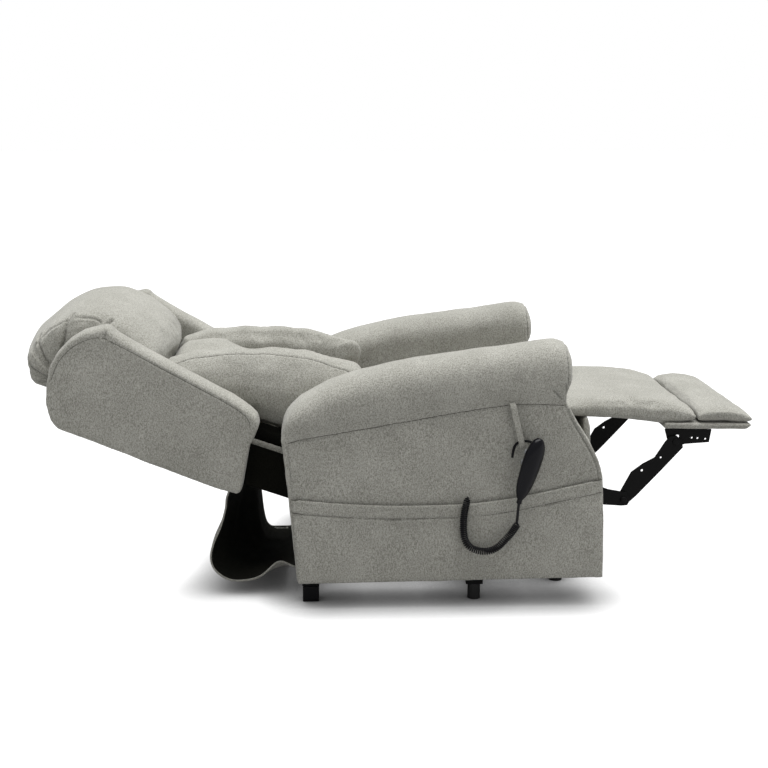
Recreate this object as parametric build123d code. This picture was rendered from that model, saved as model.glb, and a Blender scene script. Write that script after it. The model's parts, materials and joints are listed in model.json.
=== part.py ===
from build123d import *
import math
import os

# Riser recliner chair, reclined with the legrest out and the lift lowered, in millimetres.
# The front is +X, up is +Z and the sitter's right is -Y; the floor is z = 0.
# The chair is drawn about its own middle plane, y = 0, and shifted once at export so that
# the origin is the middle of the footprint box. Outlines are (x, z) points in side view,
# unless marked as (u, v) points of the back.

# ---------------------------------------------------------------- driving dimensions
SHIFT_X, SHIFT_Y = 147.514, 21.2015   # the handset hangs outside the right arm

PIN_R = 6.0
HOLE_R = 6.05             # running fit on a pin
TUBE_R = 12.5             # torque tubes

# pivots (x, z)
REAR_LINK_FLOOR = (150.0, 110.0)
REAR_LINK_SEAT = (-180.0, 130.0)
FRONT_LINK_FLOOR = (292.0, 95.0)
FRONT_LINK_SEAT = (80.0, 150.0)
BACK_PIVOT = (-225.0, 330.0)
LEG_LOWER_PIVOT = (260.0, 250.0)
LEG_KNEE = (435.0, 215.0)
LEG_UPPER_PIVOT = (560.0, 357.0)
LIFT_MOUNT = (-262.0, 150.0)
RECLINE_MOUNT = (130.0, 262.0)
LEG_MOUNT = (-60.0, 205.0)

# crank directions in degrees, from +X towards +Z
LIFT_CRANK_DEG = 128
RECLINE_CRANK_DEG = 298.5
LEG_CRANK_DEG = 318.75

# floor frame and seat rails
FLOOR_Z0, FLOOR_Z1 = 38.0, 56.0
RAIL_IN, RAIL_OUT = 224, 250
RAIL_Z0, RAIL_Z1 = 295, 335
RAIL_FRONT = 330

# y layers of the flat plates on the left side
LUG_Y = (197, 203)
REAR_LINK_Y = (205, 211)
FRONT_LINK_Y = (213, 219)
LIFT_PLATE_Y = (221, 227)
BRACKET_Y = (229, 234)
UPPER_LINK_Y = (236, 241)
LOWER_LINK_Y = (243, 248)
HANGER_Y = (250, 255)

# motors: the recline motor is left of the middle, the legrest motor right of it
RECLINE_Y, LEG_Y = 90, -90
MOUNT_HALF = 28           # middle of a motor to the outer faces of its mount plates
MOUNT_THICK = 4

# arms
ARM_IN, ARM_OUT = 272.0, 400.0
ROLL_OUT = 415.0          # outermost point of the arm roll
ARM_REAR_X, ARM_FRONT_X = -356, 360   # ends of the arm's lower edge
ARM_BASE_Z = 60           # lower edge at the rear
ARM_BASE_RISE = 9         # rise of the lofted lower edge over that length
BOARD_IN, BOARD_OUT = 263.0, 270.0

# half widths, and the wing's side faces
BACK_HALF = 250.0
PAD_HALF = 252.0
SEAT_HALF = 249.0
WING_IN, WING_OUT = 278.0, 345.0

# the back's own axes: u runs towards the head, v out of the back towards the sitter
BACK_ORIGIN = (-495.0, 267.0)
BACK_U = (-0.945, 0.326)
BACK_V = (0.326, 0.945)

# wave springs
SPRING_WAVES = 22
SPRING_SWING = 22         # seat springs; half the width of the wave
BACK_SPRING_SWING = 24
SPRING_HALF_WIRE = 1.8
SPRING_THICK = 4


# ---------------------------------------------------------------- points and outlines
def polar(centre, degrees, radius):
    angle = math.radians(degrees)
    return (centre[0] + radius * math.cos(angle), centre[1] + radius * math.sin(angle))


def along(start, end, distance, offset=0.0):
    """point at a distance from start towards end, offset to the left of that direction"""
    length = math.dist(start, end)
    dx, dz = (end[0] - start[0]) / length, (end[1] - start[1]) / length
    return (start[0] + dx * distance - dz * offset, start[1] + dz * distance + dx * offset)


def back_point(u, v):
    return (BACK_ORIGIN[0] + BACK_U[0] * u + BACK_V[0] * v,
            BACK_ORIGIN[1] + BACK_U[1] * u + BACK_V[1] * v)


def bar_outline(start, end, start_r, end_r):
    """tapering bar with faceted round ends"""
    heading = math.atan2(end[1] - start[1], end[0] - start[0])
    points = []
    for centre, radius, side in ((start, start_r, 1), (end, end_r, -1)):
        for i in range(9):
            angle = heading + side * math.pi / 2 + math.pi * i / 8
            points.append((centre[0] + radius * math.cos(angle),
                           centre[1] + radius * math.sin(angle)))
    return points


def normal_at(points, i, length):
    """vector square to the line through the neighbours of point i"""
    before = points[max(0, i - 1)]
    after = points[min(len(points) - 1, i + 1)]
    span = math.dist(before, after)
    return (-(after[1] - before[1]) / span * length, (after[0] - before[0]) / span * length)


# ---------------------------------------------------------------- solids
def prism(outline, y0, y1, corner=0.0, edge=0.0):
    """side-view outline from y0 to y1, with corner radius and end-edge radius"""
    face = make_face(Polyline(*outline, close=True))
    if corner > 0:
        face = fillet(face.vertices(), corner)
    plane = Plane(origin=(0, y1, 0), x_dir=(1, 0, 0), z_dir=(0, -1, 0))
    solid = extrude(plane * face, amount=y1 - y0)
    if edge > 0:
        ends = [e for e in solid.edges()
                if abs(e.center().Y - y0) < 1e-3 or abs(e.center().Y - y1) < 1e-3]
        # the kernel may refuse a large round on a tight outline: its edges then stay square
        try:
            solid = fillet(ends, edge)
        except Exception:
            pass
    return solid


def back_prism(outline, y0, y1, corner=0.0, edge=0.0):
    """prism of an outline in the back's (u, v) axes"""
    return prism([back_point(u, v) for u, v in outline], y0, y1, corner, edge)


def box(x0, x1, y0, y1, z0, z1, edge=0.0):
    middle = Pos((x0 + x1) / 2, (y0 + y1) / 2, (z0 + z1) / 2)
    solid = middle * Box(x1 - x0, y1 - y0, z1 - z0)
    return fillet(solid.edges(), edge) if edge > 0 else solid


def cross_cylinder(centre, radius, y0, y1):
    return Pos(centre[0], (y0 + y1) / 2, centre[1]) * Rot(90, 0, 0) * Cylinder(radius, y1 - y0)


def pin(centre, y0, y1):
    return cross_cylinder(centre, PIN_R, y0, y1)


def pin_hole(centre, y0, y1):
    return cross_cylinder(centre, HOLE_R, y0, y1)


def foot(x, y, radius):
    return Pos(x, y, FLOOR_Z0 / 2) * Cylinder(radius, FLOOR_Z0)


def rod(start, end, radius, y):
    """round rod between two side-view points"""
    length = math.dist(start, end)
    direction = ((end[0] - start[0]) / length, 0, (end[1] - start[1]) / length)
    plane = Plane(origin=(start[0], y, start[1]), z_dir=direction)
    return plane * Pos(0, 0, length / 2) * Cylinder(radius, length)


def radial_slot(centre, degrees, r0, r1, half, y0, y1):
    ends = polar(centre, degrees, r0), polar(centre, degrees, r1)
    return prism(bar_outline(*ends, half, half), y0, y1)


def swept_round(points, radius):
    path = Spline(*points)
    return sweep(Plane(origin=path @ 0, z_dir=path % 0) * Circle(radius), path=path)


def wave_spring(x0, x1, y, swing):
    """flat wave spring running along X, standing on z = 0"""
    line = [(x0 + (x1 - x0) * i / SPRING_WAVES, y + (swing if i % 2 else -swing))
            for i in range(SPRING_WAVES + 1)]
    width = SPRING_HALF_WIRE
    left, right = [], []
    for i, (px, py) in enumerate(line):
        if i in (0, SPRING_WAVES):
            nx, ny = normal_at(line, i, width)
            left.append((px + nx, py + ny))
            right.append((px - nx, py - ny))
        else:
            # the outer side of each bend is wider
            left.append((px, py + (width * 1.6 if i % 2 else width)))
            right.append((px, py - (width if i % 2 else width * 1.6)))
    return extrude(make_face(Polyline(*(left + right[::-1]), close=True)), amount=SPRING_THICK)


def mirrored(shape):
    return mirror(shape, about=Plane.XZ)


def both(shape):
    return [shape, mirrored(shape)]


# ---------------------------------------------------------------- export
os.makedirs("parts", exist_ok=True)


def save(name, *shapes):
    """shift the solids into the footprint frame and write them as one STEP file"""
    shift = Location((SHIFT_X, SHIFT_Y, 0))
    moved = [shift * solid for shape in shapes for solid in shape.solids()]
    piece = moved[0] if len(moved) == 1 else Compound(children=moved)
    piece.label = name
    export_step(piece, "parts/" + name + ".step")


def save_pair(stem, left):
    save(stem + "_left", left)
    save(stem + "_right", mirrored(left))


# ---------------------------------------------------------------- floor frame
frame = box(-345, 300, 160, 195, FLOOR_Z0, FLOOR_Z1)
frame += box(-345, 300, -195, -160, FLOOR_Z0, FLOOR_Z1)
for x0, x1, half in ((-345, -305, 345), (44, 84, 345), (262, 298, 225)):
    frame += box(x0, x1, -half, half, FLOOR_Z0, FLOOR_Z1)
save("floor_frame", frame)
save("rear_feet", *both(box(-344, -306, 311, 349, 0, FLOOR_Z0, 2)))
save("middle_feet", *both(foot(64, 330, 15)))
save("front_feet", *both(foot(280, 205, 16)))

lug = prism([(139, 56), (139, 126), (162, 126), (225, 60), (276, 112), (306, 112), (300, 56)],
            *LUG_Y)
lug -= pin(REAR_LINK_FLOOR, 190, 210)
lug -= pin(FRONT_LINK_FLOOR, 190, 210)
lug += prism([(139, 56), (139, 66), (300, 66), (300, 56)], 195, LUG_Y[1])
lug += pin(REAR_LINK_FLOOR, LUG_Y[0], 212) + pin(FRONT_LINK_FLOOR, LUG_Y[0], 220)
save("link_lugs", *both(lug))

clevis = prism([(-340, 56), (-310, 56), (-246, 140), (-250, 165), (-274, 165)], 25, 31)
save("lift_motor_clevis", clevis + mirrored(clevis) + pin(LIFT_MOUNT, -31, 31))

# ---------------------------------------------------------------- lift links
# the rear links are welded to a torque tube, which carries the two lift crank plates
lift_tube = polar(REAR_LINK_FLOOR, 225, 38)
rear_link = prism(bar_outline(REAR_LINK_FLOOR, REAR_LINK_SEAT, 15, 15), *REAR_LINK_Y)
rear_link += prism(bar_outline(REAR_LINK_FLOOR, lift_tube, 15, 16), *REAR_LINK_Y)
rear_link -= pin_hole(REAR_LINK_FLOOR, 200, 220)
rear_link -= pin_hole(REAR_LINK_SEAT, 200, 220)
save("rear_lift_links", *both(rear_link))

crank = prism([(106, 78), (94, 132), (92, 172), (106, 184), (124, 176), (134, 150), (138, 112),
               (138, 80), (124, 68)], 11, 16, 4)
crank -= radial_slot(REAR_LINK_FLOOR, LIFT_CRANK_DEG, 49, 62, 8.2, 5, 20)
save("lift_torque_tube",
     cross_cylinder(lift_tube, TUBE_R, -REAR_LINK_Y[0], REAR_LINK_Y[0]) + crank + mirrored(crank))

front_link = prism(bar_outline(FRONT_LINK_FLOOR, FRONT_LINK_SEAT, 15, 22), *FRONT_LINK_Y)
front_link -= pin_hole(FRONT_LINK_FLOOR, 205, 225)
front_link -= cross_cylinder(FRONT_LINK_SEAT, 15.6, 205, 225)
save("front_lift_links", *both(front_link))


# ---------------------------------------------------------------- motors and their rods
def motor(mount, target, y, tube_end, can_side):
    """eye, gearbox, motor can and outer tube; can_side 1 is left of mount to target"""
    def block(d0, d1, off0, off1, half, corner):
        corners = ((d0, off0), (d1, off0), (d1, off1), (d0, off1))
        outline = [along(mount, target, *c) for c in corners]
        return prism(outline, y - half, y + half, corner)

    eye = prism(bar_outline(mount, along(mount, target, 30), 13, 13), y - 9, y + 9)
    eye -= pin_hole(mount, y - 15, y + 15)
    gearbox = prism([along(mount, target, *c) for c in ((22, -24), (22, 24), (84, 24), (84, -24))],
                    y - 23, y + 23, 5)
    can = block(30, 78, 22 * can_side, 62 * can_side, 20, 4)
    tube = rod(along(mount, target, 80), along(mount, target, tube_end), 17, y)
    tube -= rod(along(mount, target, 100), along(mount, target, tube_end + 5), 10.6, y)
    return eye + gearbox + can + tube


def motor_rod(mount, target, y, start):
    """sliding rod with an eye and a pin at the crank"""
    length = math.dist(mount, target)
    shaft = rod(along(mount, target, start), along(mount, target, length - 8), 10, y)
    eye = prism(bar_outline(along(mount, target, length - 22), target, 11, 11), y - 8, y + 8)
    return shaft + eye + pin(target, y - 18, y + 18)


# crank pins (x, z)
LIFT_CRANK_PIN = polar(REAR_LINK_FLOOR, LIFT_CRANK_DEG, 60)
RECLINE_CRANK_PIN = polar(BACK_PIVOT, RECLINE_CRANK_DEG, 70)
LEG_CRANK_PIN = polar(LEG_LOWER_PIVOT, LEG_CRANK_DEG, 45)

# name, mount, crank pin, y, end of the tube, side of the can, start of the rod
MOTORS = [
    ("lift", LIFT_MOUNT, LIFT_CRANK_PIN, 0, 270, 1, 190),
    ("recline", RECLINE_MOUNT, RECLINE_CRANK_PIN, RECLINE_Y, 205, 1, 130),
    ("legrest", LEG_MOUNT, LEG_CRANK_PIN, LEG_Y, 205, -1, 172),
]
for name, mount, target, y, tube_end, can_side, rod_start in MOTORS:
    save(name + "_motor", motor(mount, target, y, tube_end, can_side))
    save(name + "_rod", motor_rod(mount, target, y, rod_start))

# ---------------------------------------------------------------- seat carriage
lift_plate = prism([(-200, 118), (-165, 112), (-120, 180), (40, 190), (62, 134), (96, 134),
                    (112, 200), (112, 295), (-200, 295)], *LIFT_PLATE_Y)
save("seat_lift_plates",
     *both(lift_plate + pin(REAR_LINK_SEAT, 204, 222) + pin(FRONT_LINK_SEAT, 212, 222)))

rails = box(-244, RAIL_FRONT, RAIL_IN, RAIL_OUT, RAIL_Z0, RAIL_Z1)
rails += box(-244, RAIL_FRONT, -RAIL_OUT, -RAIL_IN, RAIL_Z0, RAIL_Z1)
for x0, x1 in ((300, RAIL_FRONT), (-205, -180)):
    rails += box(x0, x1, -RAIL_IN, RAIL_IN, RAIL_Z0, RAIL_Z1)
pivot_ear = prism([(-247, 312), (-247, 338), (-235, 352), (-212, 352), (-190, 335), (-190, 312)],
                  RAIL_IN, RAIL_OUT)
pivot_hole = pin_hole(BACK_PIVOT, 200, 270)
rails = rails + pivot_ear + mirrored(pivot_ear) - pivot_hole - mirrored(pivot_hole)
save("seat_rails", rails)

save("seat_springs", *[Pos(0, 0, RAIL_Z1) * wave_spring(-200, 325, y, SPRING_SWING)
                       for y in (-180, -90, 0, 90, 180)])
save("seat_cushion", prism([(-200, 341), (-200, 404), (-120, 424), (120, 444), (326, 452),
                            (328, 341)], -SEAT_HALF, SEAT_HALF, 18, 12))
save("front_rail", prism([(332, 292), (332, 421), (346, 421), (352, 392), (353, 350), (350, 292)],
                         -RAIL_OUT, RAIL_OUT, 4, 3))
save("seat_front_pad", prism([(331, 424.5), (331, 453), (362, 454), (362, 423)],
                             -PAD_HALF, PAD_HALF, 3))
hanger = prism([(236, 292), (240, 232), (280, 232), (292, 292), (292, 334), (236, 334)],
               *HANGER_Y, 5)
save("legrest_hanger_plates", *both(hanger + pin(LEG_LOWER_PIVOT, LOWER_LINK_Y[0], 257)))

# crossmembers with a two-plate mount for each motor; y0 to y1 is over the plates
y0, y1 = RECLINE_Y - MOUNT_HALF, RECLINE_Y + MOUNT_HALF
recline_mount = box(95, 150, y0, y0 + MOUNT_THICK, 240, 276)
recline_mount += box(95, 150, y1 - MOUNT_THICK, y1, 240, 276)
recline_mount += box(145, 150, y0 + MOUNT_THICK, y1 - MOUNT_THICK, 240, 276)
recline_member = box(120, 150, -RAIL_IN, RAIL_IN, 276, 294)
recline_member = recline_member + recline_mount + pin(RECLINE_MOUNT, y0, y1)

y0, y1 = LEG_Y - MOUNT_HALF, LEG_Y + MOUNT_HALF
mount_outline = [(-84, 294), (-84, 195), (-50, 195), (-50, 294)]
leg_mount = prism(mount_outline, y1 - MOUNT_THICK, y1)
leg_mount += prism(mount_outline, y0, y0 + MOUNT_THICK)
leg_member = box(-84, -50, -221, 221, 294, 302) + leg_mount + pin(LEG_MOUNT, y0, y1)
save("motor_crossmembers", recline_member, leg_member)
save("control_box", box(152, 240, -40, 40, 258, 292, 4))

# ---------------------------------------------------------------- arms
# x, height of the top, vertical radius of the roll
ARM_STATIONS = [
    (-357, 495, 54), (-322, 519, 56), (-253, 546, 60), (-114, 583, 64), (47, 608, 68),
    (186, 624, 71), (244, 626, 72), (268, 616, 68), (284, 572, 46),
]


def arm_section(x, top, roll, bottom):
    """closed YZ section: flat panel below, overhanging roll above"""
    roll_z = top - roll
    half = (ROLL_OUT - ARM_IN) / 2.0
    points = [(x, ARM_IN, bottom), (x, ARM_IN, roll_z)]
    for i in range(1, 8):
        angle = math.pi - math.pi * i / 8
        points.append((x, ARM_IN + half + half * math.cos(angle),
                       roll_z + roll * math.sin(angle)))
    points += [(x, ROLL_OUT, roll_z), (x, ROLL_OUT - 4, roll_z - 0.45 * roll),
               (x, ARM_OUT, roll_z - 0.95 * roll), (x, ARM_OUT, bottom)]
    return points


def arm_bottom(x):
    return ARM_BASE_Z + ARM_BASE_RISE * (x - ARM_REAR_X) / (ARM_FRONT_X - ARM_REAR_X)


sections = [arm_section(-372, 470, 50, ARM_BASE_Z)]
sections += [arm_section(x, top, roll, arm_bottom(x)) for x, top, roll in ARM_STATIONS]
arm = Solid.make_loft([Wire.make_polygon([Vector(*p) for p in section], close=True)
                       for section in sections], True)
# scooped front panel under the roll, then the rear end
arm_front = prism([(260, 70), (ARM_FRONT_X, 69), (354, 258), (346, 318), (321, 365), (284, 430),
                   (262, 484), (240, 484), (240, 70)], ARM_IN, ARM_OUT)
arm_rear = prism([(ARM_REAR_X, ARM_BASE_Z), (-388, 427), (-372, 440), (-330, 440),
                  (-330, ARM_BASE_Z)], ARM_IN, ARM_OUT)
save_pair("arm", arm + arm_front + arm_rear)
save_pair("arm_board", prism([(-340, 75), (-340, 420), (-300, 470), (-60, 530), (220, 560),
                              (250, 480), (330, 320), (335, 78)], BOARD_IN, BOARD_OUT))
spacers = [box(x, x + 30, RAIL_OUT, BOARD_IN, RAIL_Z0 + 1, RAIL_Z1 - 1) for x in (-100, 180)]
save("arm_spacer_blocks", *both(spacers[0]), *both(spacers[1]))
save("side_pocket", mirrored(prism([(-352, 66), (-363, 267), (-150, 252), (45, 254), (200, 276),
                                    (349, 308), (353, 262), (357, 72)], 401, 404.5)))

# strap loop outside the right arm, drawn on the left and mirrored
STRAP_IN, STRAP_OUT = 404.8, 421
top_rear, top_front = (131, 484), (146, 486)
low_rear, low_front = (156, 388), (171, 391)
end_rear, end_front = (158, 383), (168, 384)
strap = prism([top_rear, top_front, low_front, low_rear], 418, STRAP_OUT)
strap += prism([low_rear, low_front, end_front, end_rear], STRAP_IN, STRAP_OUT)
strap += prism([end_rear, end_front, low_front, top_front, top_rear, low_rear], STRAP_IN, 407)
strap += prism([top_rear, top_front, (145, 490), (130, 488)], STRAP_IN, STRAP_OUT)
save("handset_strap", mirrored(strap))

# hanging loop of the coiled cable, centre line (x, y, z)
COIL_LINE = [
    (153, -424, 205), (142, -424, 172), (120, -424, 152), (92, -424, 146), (62, -424, 149),
    (38, -422, 164), (24, -420, 188), (22, -417, 214), (32, -414, 240), (36, -412, 262),
]
save("coil_cable", swept_round(COIL_LINE, 6.5))

# loose cloth from the foot of the back to the seat base, middle line (x, z)
FLAP_LINE = [
    (-528, 246), (-529, 214), (-541, 169), (-559, 127), (-564, 89), (-551, 57), (-515, 36),
    (-474, 37), (-424, 50), (-392, 58),
]
FLAP_HALF_THICK = 1.75
flap_left, flap_right = [], []
for i, (x, z) in enumerate(FLAP_LINE):
    nx, nz = normal_at(FLAP_LINE, i, FLAP_HALF_THICK)
    flap_left.append((x + nx, z + nz))
    flap_right.append((x - nx, z - nz))
save("back_flap", prism(flap_left + flap_right[::-1], -296, 296))

# ---------------------------------------------------------------- backrest, outlines in (u, v)
lining = back_prism([(-195, 0), (426, 0), (452, 18), (476, 84), (479, 100), (-195, 100)],
                    -BACK_HALF, BACK_HALF)
lining -= back_prism([(-200, 4), (424, 4), (448, 20), (472, 84), (475, 101), (-200, 101)],
                     -246, 246)
save("back_lining", lining)

back_frame = back_prism([(-190, 6), (421, 6), (445, 22), (469, 84), (471, 98), (-190, 98)],
                        -245, 245)
back_frame -= back_prism([(-150, 0), (-150, 110), (402, 110), (402, 0)], -208, 208)
back_frame += back_prism([(140, 20), (180, 20), (180, 84), (140, 84)], -210, 210)
save("back_frame", back_frame)

spring_x, spring_z = back_point(0, 92)
spring_plane = Plane(origin=(spring_x, 0, spring_z), x_dir=(BACK_U[0], 0, BACK_U[1]),
                     z_dir=(BACK_V[0], 0, BACK_V[1]))
save("back_springs", *[spring_plane * wave_spring(-148, 400, y, BACK_SPRING_SWING)
                       for y in (-150, -50, 50, 150)])
save("back_deck_pad", back_prism([(-193, 101), (468, 101), (466, 121), (-193, 121)],
                                 -BACK_HALF, BACK_HALF, 4, 3))

wing = back_prism([
    (4, 2), (212, 0), (430, 0), (458, 20), (485, 84), (492, 118), (491, 179), (474, 221),
    (450, 252), (423, 268), (395, 280), (356, 278), (294, 270), (168, 247), (38, 217), (8, 181),
    (3, 131), (1, 71)], WING_IN, WING_OUT, 0, 16)
wing += back_prism([(10, 4), (470, 4), (476, 118), (8, 118)], BACK_HALF, WING_IN + 10)
save_pair("wing", wing)

save("head_cushion", back_prism([
    (244, 124), (478, 124), (494, 96), (520, 66), (580, 70), (612, 117), (612, 158), (567, 226),
    (506, 288), (438, 318), (350, 312), (268, 286), (240, 230)], -274, 274, 8, 24))
save("lumbar_cushion", back_prism([
    (-60, 124), (234, 124), (236, 210), (228, 244), (183, 271), (90, 262), (0, 228),
    (-60, 180)], -134, 134, 12, 18))
save_pair("bolster", back_prism([
    (-150, 124), (234, 124), (237, 200), (228, 236), (77, 308), (-33, 352), (-120, 366),
    (-150, 352), (-162, 300)], 138, 254, 10, 16))

hinge = prism([(-247, 318), (-243, 346), (-225, 354), (-206, 346), (-203, 322), (-222, 306),
               (-262, 285), (-330, 235), (-372, 250), (-372, 300)], 251, 256, 4)
save("back_hinge_plates", *both(hinge + pin(BACK_PIVOT, 226, 257)))

# two slotted crank plates on a plate at the foot of the back
pin_x, pin_z = RECLINE_CRANK_PIN
crank = prism([back_point(-195, 20), back_point(-195, 84), (-225, 290), (pin_x + 8, pin_z + 14),
               (pin_x + 18, pin_z - 6), (pin_x + 2, pin_z - 20), (-230, 240)], 101, 106)
crank -= radial_slot(BACK_PIVOT, RECLINE_CRANK_DEG, 60, 72, 7.8, 90, 115)
foot_plate = back_prism([(-190.5, 14), (-190.5, 90), (-196, 90), (-196, 14)], 68, 112)
save("recline_crank", crank + Pos(0, -27, 0) * crank + foot_plate)

# ---------------------------------------------------------------- legrest
save("legrest_pad", prism([(376, 425), (376, 450), (419, 451), (549, 437), (600, 428), (602, 407),
                           (531, 409), (467, 423)], -PAD_HALF, PAD_HALF, 4))
save("toe_pad", prism([(606, 407), (606, 428), (681, 425), (732, 424), (740, 416), (738, 403)],
                      -PAD_HALF, PAD_HALF, 3))
save("legrest_board", prism([(531, 390), (531, 406), (600, 404.5), (734, 400.5), (725, 386)],
                            -246, 246, 2))

bracket = prism([(534, 386), (548, 400), (640, 400), (648, 385), (643, 354), (584, 350),
                 (556, 341), (544, 350)], *BRACKET_Y)
for centre, radius in (((565, 368), 5.2), ((601, 365), 2.6), ((615, 364), 2.6), ((634, 362), 2.6)):
    bracket -= cross_cylinder(centre, radius, 220, 240)
# trimmed just below the board
bracket -= prism([(530, 389.5), (700, 384.5), (700, 410), (530, 410)], 220, 260)
flange = prism([(540, 386), (640, 382.6), (640, 386), (540, 389.3)], 205, 231)
save("legrest_brackets", *both(bracket + flange + pin(LEG_UPPER_PIVOT, BRACKET_Y[0], 242)))

lower_link = prism([(246, 252), (256, 264), (340, 262), (398, 241), (441, 233), (453, 216),
                    (445, 201), (431, 200), (388, 203), (330, 222), (256, 236), (246, 242)],
                   *LOWER_LINK_Y)
lower_link -= pin_hole(LEG_LOWER_PIVOT, 235, 255)
lower_link += cross_cylinder(LEG_KNEE, 7, LOWER_LINK_Y[1], 251)
save("legrest_lower_links", *both(lower_link))

crank = prism([(246, 236), (250, 262), (272, 262), (280, 236), (312, 222), (308, 200), (290, 198),
               (262, 214)], -79.5, -74.5)
crank -= radial_slot(LEG_LOWER_PIVOT, LEG_CRANK_DEG, 27, 48, 9.3, -90, -70)
leg_tube = cross_cylinder(LEG_LOWER_PIVOT, TUBE_R, -LOWER_LINK_Y[0], LOWER_LINK_Y[0])
leg_tube = leg_tube + crank + Pos(0, -26, 0) * crank
save("legrest_torque_tube", leg_tube - cross_cylinder(LEG_LOWER_PIVOT, 10, -250, 250))

upper_link = prism([(534, 356), (545, 370), (562, 372), (575, 360), (578, 343), (520, 279),
                    (467, 222), (446, 203), (428, 204), (421, 216), (432, 240), (454, 282),
                    (482, 303), (510, 318)], *UPPER_LINK_Y)
for centre, radius in ((LEG_UPPER_PIVOT, HOLE_R), ((525, 318), 2.6), ((480, 286), 3.2)):
    upper_link -= cross_cylinder(centre, radius, 230, 250)
save("legrest_upper_links", *both(upper_link))

# ---------------------------------------------------------------- handset
HANDSET = (177.0, -437.0, 342.0)
HANDSET_LEAN = 17.0
HANDSET_TURN = 35.0

# z, half width, half depth of the elliptical sections
SHELL = [
    (-75, 5, 5), (-66, 12, 9), (-48, 19, 13.5), (-15, 24, 16.5), (20, 26, 17), (45, 24, 16),
    (62, 18, 13), (71, 11, 9), (75, 5, 4.5),
]
# name, x and z of each round key
KEYS = [("recline", -9.5, 36), ("upright", 9.5, 36), ("raise", -9.5, 11), ("lower", 9.5, 11)]


def hang(shape):
    """handset drawn upright with its keys on +Y, then leaned, turned and placed"""
    return Pos(*HANDSET) * Rot(0, HANDSET_LEAN, 0) * Rot(0, 0, HANDSET_TURN) * shape


def key_disc(x, y, z, radius, depth):
    return Pos(x, y, z) * Rot(90, 0, 0) * Cylinder(radius, depth)


body = Solid.make_loft([(Plane(origin=(0, 0, z), z_dir=(0, 0, 1), x_dir=(1, 0, 0))
                         * Ellipse(width, depth)).wire() for z, width, depth in SHELL], False)
# the halves part at y = 1 and y = 1.4, which leaves a seam
shell_back = body - Pos(0, 31, 0) * Box(100, 60, 200)
shell_front = body & (Pos(0, 31.4, 0) * Box(100, 60, 200))
for name, x, z in KEYS:
    shell_front -= key_disc(x, 16, z, 7.4, 20)
    save("key_" + name, hang(key_disc(x, 12.9, z, 7.2, 9.4)))
shell_back, shell_front = hang(shell_back), hang(shell_front)
save("handset_back", shell_back)
save("handset_front", shell_front)

# wire hook, centre line (x, y, z)
HOOK_LINE = [(192, -430, 394), (182, -418, 401), (163, -412.5, 402), (149, -412.5, 396),
             (142, -412.5, 380), (140, -412.5, 364)]
save("handset_hook", swept_round(HOOK_LINE, 3) - shell_back - shell_front)
lead = rod((154, 268), (150, 216), 3.2, HANDSET[1])
grommet = rod((158, 281), (153.5, 262), 6.0, HANDSET[1])
save("handset_lead", lead + grommet - shell_back - shell_front)
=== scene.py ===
"""Cloth covers, coiled lead, materials and studio for a riser recliner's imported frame.

Shapes are in side-view millimetres: x forward, y left, z up from the floor. to_world() shifts
them into the row frame, in metres. The chair is reclined: its back runs rearward and slightly
up, and shapes on it are drawn in back coordinates (u, v), see back_xz().
"""
import math
import json
import bpy
import numpy as np
from mathutils import Vector, Matrix


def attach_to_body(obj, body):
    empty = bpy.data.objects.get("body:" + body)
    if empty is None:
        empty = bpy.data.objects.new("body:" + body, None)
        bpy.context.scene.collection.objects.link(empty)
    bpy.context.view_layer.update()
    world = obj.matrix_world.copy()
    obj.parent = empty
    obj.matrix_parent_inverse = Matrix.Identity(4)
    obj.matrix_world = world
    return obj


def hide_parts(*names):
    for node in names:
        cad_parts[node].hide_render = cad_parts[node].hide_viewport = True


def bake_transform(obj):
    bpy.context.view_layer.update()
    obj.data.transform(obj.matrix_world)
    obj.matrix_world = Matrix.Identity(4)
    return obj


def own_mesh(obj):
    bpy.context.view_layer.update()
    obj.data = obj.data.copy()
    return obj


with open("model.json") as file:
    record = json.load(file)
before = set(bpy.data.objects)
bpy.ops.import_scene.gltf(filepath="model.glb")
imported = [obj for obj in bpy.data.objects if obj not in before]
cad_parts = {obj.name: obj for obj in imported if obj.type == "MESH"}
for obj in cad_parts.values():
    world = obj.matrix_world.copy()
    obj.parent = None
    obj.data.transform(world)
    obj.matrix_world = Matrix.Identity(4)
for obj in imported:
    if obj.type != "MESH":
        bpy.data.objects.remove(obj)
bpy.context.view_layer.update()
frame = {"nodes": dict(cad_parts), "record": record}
VOXEL = 5.0               # usual remesh size
ROW_SHIFT = np.array([147.514, 21.2015, 0.0])   # side view to row frame, mm
BACK_ORIGIN = (-495, 267)                   # x, z where u = v = 0
BACK_U = (-0.945, 0.326)                    # x, z of a step up the back
BACK_V = (0.326, 0.945)                     # x, z of a step out of its face
SIDES = (-1, 1)                             # right, left


# ------------------------------------------------------------------ coordinates
def back_xz(u, v):
    """Side-view (x, z) of a place u up the back and v out from its face."""
    return (BACK_ORIGIN[0] + BACK_U[0] * u + BACK_V[0] * v,
            BACK_ORIGIN[1] + BACK_U[1] * u + BACK_V[1] * v)


def back_xyz(u, y, v):
    x, z = back_xz(u, v)
    return x, y, z


def back_outline(points):
    return [back_xz(u, v) for u, v in points]


def back_coords(points):
    """The u and v of an array of side-view points."""
    offset = points[:, [0, 2]] - np.array(BACK_ORIGIN, float)
    return offset @ np.array(BACK_U), offset @ np.array(BACK_V)


def at_y(outline, y):
    return [(x, y, z) for x, z in outline]


def to_world(points):
    return (np.asarray(points, float) + ROW_SHIFT) / 1000.0


def from_world(points):
    return points * 1000.0 - ROW_SHIFT


def world_tuple(x, y, z):
    return tuple(float(c) for c in to_world((x, y, z)))


def unit(value):
    return min(1.0, max(0.0, value))


def smoothstep(t):
    return t * t * (3 - 2 * t)


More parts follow.
